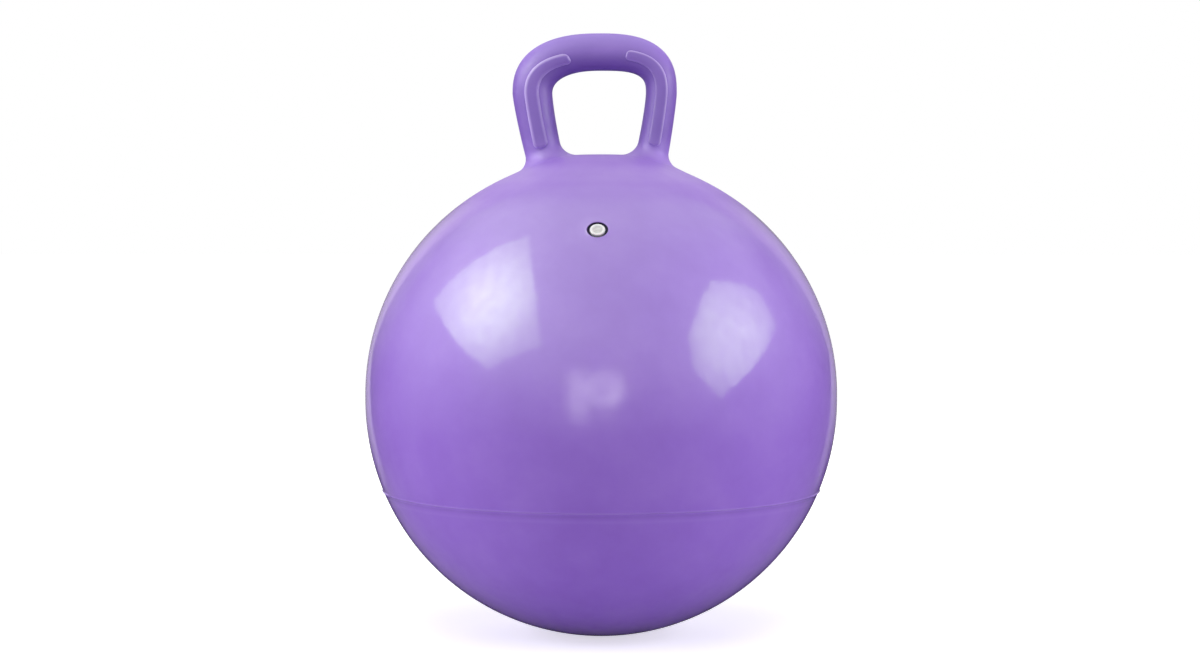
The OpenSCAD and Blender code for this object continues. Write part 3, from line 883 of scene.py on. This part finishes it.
def seen_rays(tree):
    """1 where the camera, a reflection or something clear looks at the surround, and 0 for the light it sends."""
    rays = add_node(tree, "ShaderNodeLightPath").outputs
    seen = add_node(tree, "ShaderNodeMath", {"operation": "MAXIMUM"}, {
        0: rays["Is Camera Ray"], 1: rays["Is Glossy Ray"]})
    seen = add_node(tree, "ShaderNodeMath", {"operation": "MAXIMUM"}, {
        0: seen.outputs["Value"], 1: rays["Is Transmission Ray"]})
    return seen.outputs["Value"]


# The floor is pale paper that goes over to the white surround well away from the ball, and keeps the ball's shadow
FLOOR_SIZE = 40
FLOOR_NEAR = 0.5
FLOOR_FAR = 1.3
FLOOR_GLOW = (0.6, 1)
WHITE = (1, 1, 1, 1)
floor_paper, tree = start_material("pale_paper_floor")
place = add_node(tree, "ShaderNodeTexCoord").outputs["Object"]
away = add_node(tree, "ShaderNodeVectorMath", {"operation": "LENGTH"}, {0: place})
fade = add_node(tree, "ShaderNodeMapRange", {"interpolation_type": "SMOOTHSTEP"}, {
    "Value": away.outputs["Value"], "From Min": FLOOR_NEAR, "From Max": FLOOR_FAR,
    "To Min": FLOOR_GLOW[0], "To Max": FLOOR_GLOW[1]})
paper = add_node(tree, "ShaderNodeBsdfDiffuse", inputs={"Color": linear("#EAEAEC")})
glow = add_node(tree, "ShaderNodeEmission", inputs={"Color": WHITE, "Strength": fade.outputs["Result"]})
lit = add_node(tree, "ShaderNodeAddShader", inputs={0: paper.outputs["BSDF"], 1: glow.outputs["Emission"]})
fill = add_node(tree, "ShaderNodeEmission", inputs={"Color": WHITE, "Strength": FLOOR_FILL})
bright = add_node(tree, "ShaderNodeAddShader", inputs={0: paper.outputs["BSDF"], 1: fill.outputs["Emission"]})
both = add_node(tree, "ShaderNodeMixShader", inputs={
    0: seen_rays(tree), 1: bright.outputs["Shader"], 2: lit.outputs["Shader"]})
add_node(tree, "ShaderNodeOutputMaterial", inputs={"Surface": both.outputs["Shader"]})
bpy.ops.object.select_all(action="DESELECT")
bpy.ops.mesh.primitive_plane_add(size=FLOOR_SIZE, location=(0, 0, 0))
floor = stage_piece(bpy.context.object, "floor", floor_paper)
floor.visible_glossy = False

world = bpy.data.worlds.new("white_surround")
bpy.context.scene.world = world
world.use_nodes = True
tree = world.node_tree
tree.nodes.clear()
strength = add_node(tree, "ShaderNodeMapRange", inputs={"Value": seen_rays(tree), "To Min": SKY_FILL, "To Max": 1})
white = add_node(tree, "ShaderNodeBackground", inputs={"Color": WHITE, "Strength": strength.outputs["Result"]})
add_node(tree, "ShaderNodeOutputWorld", inputs={"Surface": white.outputs["Background"]})


def softbox(name, azimuth, elevation, distance, size, light):
    """A square lamp that faces the ball; light is what a white card facing it at the ball would give back."""
    lamp = bpy.data.lights.new(name, "AREA")
    lamp.shape = "RECTANGLE"
    lamp.size, lamp.size_y = size
    lamp.energy = light * math.pi ** 2 * distance ** 2
    obj = bpy.data.objects.new(name, lamp)
    bpy.context.collection.objects.link(obj)
    obj.location = ball_middle + direction(azimuth, elevation) * distance
    obj.rotation_mode = "QUATERNION"
    obj.rotation_quaternion = aim(obj.location, ball_middle)
    obj.visible_glossy = False


softbox("left_softbox", -82, 10, 1.5, (1.1, 1.1), LEFT_LIGHT)
softbox("right_softbox", 82, 10, 1.5, (1.1, 1.1), RIGHT_LIGHT)
softbox("front_softbox", 0, 40, 2.2, (1.2, 1.2), FRONT_LIGHT)
softbox("back_softbox", 180, 22, 2.2, (1.2, 1.2), BACK_LIGHT)
softbox("top_softbox", 0, 82, 1.8, (1.8, 1.8), TOP_LIGHT)


# The room in the gloss: bright above, dark below the level of the ball, and dim behind it with a pale backdrop
ROOM_R = 5
room_walls, tree = start_material("studio_room")
place = add_node(tree, "ShaderNodeTexCoord").outputs["Object"]
way = add_node(tree, "ShaderNodeVectorMath", {"operation": "NORMALIZE"}, {0: place})
axes = add_node(tree, "ShaderNodeSeparateXYZ", inputs={0: way.outputs["Vector"]})
lift = add_node(tree, "ShaderNodeMapRange", inputs={"Value": axes.outputs["Z"], "From Min": -1, "From Max": 1})


def grey(level):
    """A grey for the room's ramps, which run to RAMP_TOP times white."""
    return (level / RAMP_TOP, level / RAMP_TOP, level / RAMP_TOP, 1)


def height_stop(elevation):
    return (math.sin(math.radians(elevation)) + 1) / 2


front = add_node(tree, "ShaderNodeValToRGB", inputs={"Fac": lift.outputs["Result"]})
set_ramp(front, [(height_stop(e), grey(level)) for e, level in ROOM_FRONT])
back = add_node(tree, "ShaderNodeValToRGB", inputs={"Fac": lift.outputs["Result"]})
set_ramp(back, [(height_stop(e), grey(level)) for e, level in ROOM_BACK])
rear = add_node(tree, "ShaderNodeMapRange", {"interpolation_type": "SMOOTHSTEP"}, {
    "Value": axes.outputs["Y"], "From Min": REAR_Y[0], "From Max": REAR_Y[1]})
walls = add_node(tree, "ShaderNodeMix", {"data_type": "RGBA"}, {
    "Factor": rear.outputs["Result"], 6: front.outputs["Color"], 7: back.outputs["Color"]})
walls = add_node(tree, "ShaderNodeMix", {"data_type": "RGBA", "blend_type": "MULTIPLY"}, {
    "Factor": 1, 6: walls.outputs[2], 7: ROOM_TINT})
edge = add_node(tree, "ShaderNodeMath", {"operation": "SUBTRACT"}, {0: axes.outputs["Z"], 1: SHEET_WAIST})
edge = add_node(tree, "ShaderNodeMath", {"operation": "ABSOLUTE"}, {0: edge.outputs["Value"]})
edge = add_node(tree, "ShaderNodeMath", {"operation": "MULTIPLY_ADD"}, {
    0: edge.outputs["Value"], 1: SHEET_SLOPE, 2: axes.outputs["Y"]})
sheet = add_node(tree, "ShaderNodeMapRange", inputs={
    "Value": edge.outputs["Value"], "From Min": SHEET_EDGE - SHEET_SOFT, "From Max": SHEET_EDGE + SHEET_SOFT})


def axis_ramp(axis, stops, colour):
    """A ramp along one of the room's axes, between its first and its last stop."""
    first, last = stops[0][0], stops[-1][0]
    along = add_node(tree, "ShaderNodeMapRange", inputs={
        "Value": axes.outputs[axis], "From Min": first, "From Max": last})
    ramp = add_node(tree, "ShaderNodeValToRGB", inputs={"Fac": along.outputs["Result"]})
    stops = [((place - first) / (last - first), colour(level)) for place, level in stops]
    return set_ramp(ramp, stops).outputs["Color"]


pale = add_node(tree, "ShaderNodeMath", {"operation": "MULTIPLY"}, {
    0: axis_ramp("Y", SHEET_LEVEL, grey), 1: axis_ramp("Z", SHEET_SHARE, lambda share: (share, share, share, 1))})
pale = add_node(tree, "ShaderNodeMix", {"data_type": "RGBA", "blend_type": "MULTIPLY"}, {
    "Factor": 1, 6: pale.outputs["Value"], 7: SHEET_TINT})
walls = add_node(tree, "ShaderNodeMix", {"data_type": "RGBA"}, {
    "Factor": sheet.outputs["Result"], 6: walls.outputs[2], 7: pale.outputs[2]})
# The paper table shows below the level of the ball, but not where the ball stands in its own shadow
table = add_node(tree, "ShaderNodeMapRange", inputs={
    "Value": axes.outputs["Z"], "From Min": TABLE_Z[0], "From Max": TABLE_Z[1]})
aside = add_node(tree, "ShaderNodeMath", {"operation": "ABSOLUTE"}, {0: axes.outputs["X"]})
clear = add_node(tree, "ShaderNodeMapRange", {"interpolation_type": "SMOOTHSTEP"}, {
    "Value": aside.outputs["Value"], "From Min": TABLE_CLEAR_X[0], "From Max": TABLE_CLEAR_X[1]})
table = add_node(tree, "ShaderNodeMath", {"operation": "MULTIPLY"}, {
    0: table.outputs["Result"], 1: clear.outputs["Result"]})
walls = add_node(tree, "ShaderNodeMix", {"data_type": "RGBA"}, {
    "Factor": table.outputs["Value"], 6: walls.outputs[2], 7: grey(ROOM_TABLE)})
# A dark gap low down behind the ball draws its lower outline
gap = add_node(tree, "ShaderNodeMapRange", inputs={
    "Value": axes.outputs["Y"], "From Min": GAP_Y[0], "From Max": GAP_Y[1]})
low = add_node(tree, "ShaderNodeMapRange", inputs={
    "Value": axes.outputs["Z"], "From Min": GAP_Z[0], "From Max": GAP_Z[1]})
gap = add_node(tree, "ShaderNodeMath", {"operation": "MULTIPLY"}, {0: gap.outputs["Result"], 1: low.outputs["Result"]})
walls = add_node(tree, "ShaderNodeMix", {"data_type": "RGBA"}, {
    "Factor": gap.outputs["Value"], 6: walls.outputs[2], 7: grey(ROOM_GAP)})
# The room is brighter on the left than on the right, and dimmer straight out to either side
side = add_node(tree, "ShaderNodeMapRange", inputs={
    "Value": axes.outputs["X"], "From Min": -1, "From Max": 1,
    "To Min": RAMP_TOP * SIDE_LEVEL[0], "To Max": RAMP_TOP * SIDE_LEVEL[1]})
dim = add_node(tree, "ShaderNodeMapRange", {"interpolation_type": "SMOOTHSTEP"}, {
    "Value": aside.outputs["Value"], "From Min": SIDE_DIM_X[0], "From Max": SIDE_DIM_X[1],
    "To Min": 1, "To Max": SIDE_DIM})
side = add_node(tree, "ShaderNodeMath", {"operation": "MULTIPLY"}, {
    0: side.outputs["Result"], 1: dim.outputs["Result"]})
glow = add_node(tree, "ShaderNodeEmission", inputs={"Color": walls.outputs[2], "Strength": side.outputs["Value"]})
add_node(tree, "ShaderNodeOutputMaterial", inputs={"Surface": glow.outputs["Emission"]})
bpy.ops.object.select_all(action="DESELECT")
bpy.ops.mesh.primitive_uv_sphere_add(segments=48, ring_count=24, radius=ROOM_R, location=ball_middle)
gloss_only(stage_piece(bpy.context.object, "studio_room", room_walls))


def gloss_card(name, azimuth, elevation, corners, glows, tint):
    """A lit softbox cloth as the gloss shows it.

    It is brightest over its lamps, uneven in its folds, and added to the room behind.
    """
    material, tree = start_material(name)
    place = add_node(tree, "ShaderNodeTexCoord").outputs["Object"]
    strength, spots = glows
    for x, y, near, far, level in spots:
        away = add_node(tree, "ShaderNodeVectorMath", {"operation": "DISTANCE"}, {0: place, 1: (x, y, 0)})
        fall = add_node(tree, "ShaderNodeMapRange", {"interpolation_type": "SMOOTHSTEP"}, {
            "Value": away.outputs["Value"], "From Min": near, "From Max": far, "To Min": level, "To Max": 0})
        strength = add_node(tree, "ShaderNodeMath", {"operation": "ADD"}, {
            0: fall.outputs["Result"], 1: strength}).outputs["Value"]
    folds = add_node(tree, "ShaderNodeTexNoise", inputs={"Vector": place, "Scale": 1 / FOLD_SIZE, "Detail": 3})
    folds = add_node(tree, "ShaderNodeMapRange", inputs={
        "Value": folds.outputs["Fac"], "From Min": NOISE_SPAN[0], "From Max": NOISE_SPAN[1],
        "To Min": FOLD_LEVEL[0], "To Max": FOLD_LEVEL[1]})
    strength = add_node(tree, "ShaderNodeMath", {"operation": "MULTIPLY"}, {0: strength, 1: folds.outputs["Result"]})
    glow = add_node(tree, "ShaderNodeEmission", inputs={"Color": tint, "Strength": strength.outputs["Value"]})
    clear = add_node(tree, "ShaderNodeBsdfTransparent")
    both = add_node(tree, "ShaderNodeAddShader", inputs={0: clear.outputs["BSDF"], 1: glow.outputs["Emission"]})
    add_node(tree, "ShaderNodeOutputMaterial", inputs={"Surface": both.outputs["Shader"]})
    bpy.ops.object.select_all(action="DESELECT")
    bpy.ops.mesh.primitive_circle_add(vertices=len(corners), radius=1, fill_type="NGON")
    card = bpy.context.object
    for point, (x, y) in zip(card.data.vertices, corners):
        point.co = (x, y, 0)
    card.location = ball_middle + direction(azimuth, elevation) * CARD_DISTANCE
    card.rotation_mode = "QUATERNION"
    card.rotation_quaternion = aim(card.location, ball_middle)
    gloss_only(stage_piece(card, name, material))


gloss_card("left_card", -77.4, 40.9, LEFT_CARD, LEFT_GLOW, CARD_TINT)
gloss_card("right_card", 73.1, 25.7, RIGHT_CARD, RIGHT_GLOW, CARD_TINT)
gloss_card("camera_umbrella", -0.3, 3.4, UMBRELLA, UMBRELLA_GLOW, UMBRELLA_TINT)

# The camera: where it stands from a middle in the ball, in metres and degrees, how far from that middle it aims,
# across and up, and its focal length in pixels of the frame
CAMERA_MIDDLE = Vector((0, 0, 0.2262))
CAMERA_DISTANCE = 2.4
CAMERA_TILT = 4.274
CAMERA_TURN = 1.19
AIM_ACROSS = -1.13 * MM
AIM_UP = 59.35 * MM
FRAME_WIDTH = 1200
FOCAL_PIXELS = 2505.4
SENSOR_WIDTH = 36
camera_data = bpy.data.cameras.new("photo_camera")
camera_data.sensor_fit = "HORIZONTAL"
camera_data.sensor_width = SENSOR_WIDTH
camera_data.lens = SENSOR_WIDTH * FOCAL_PIXELS / FRAME_WIDTH
camera = bpy.data.objects.new("photo_camera", camera_data)
bpy.context.collection.objects.link(camera)
camera.location = CAMERA_MIDDLE + direction(CAMERA_TURN, CAMERA_TILT) * CAMERA_DISTANCE
turn = math.radians(CAMERA_TURN)
camera_target = CAMERA_MIDDLE + Vector((AIM_ACROSS * math.cos(turn), AIM_ACROSS * math.sin(turn), AIM_UP))
camera.rotation_mode = "QUATERNION"
camera.rotation_quaternion = aim(camera.location, camera_target)
bpy.context.scene.camera = camera
bpy.context.scene.view_settings.view_transform = "Standard"
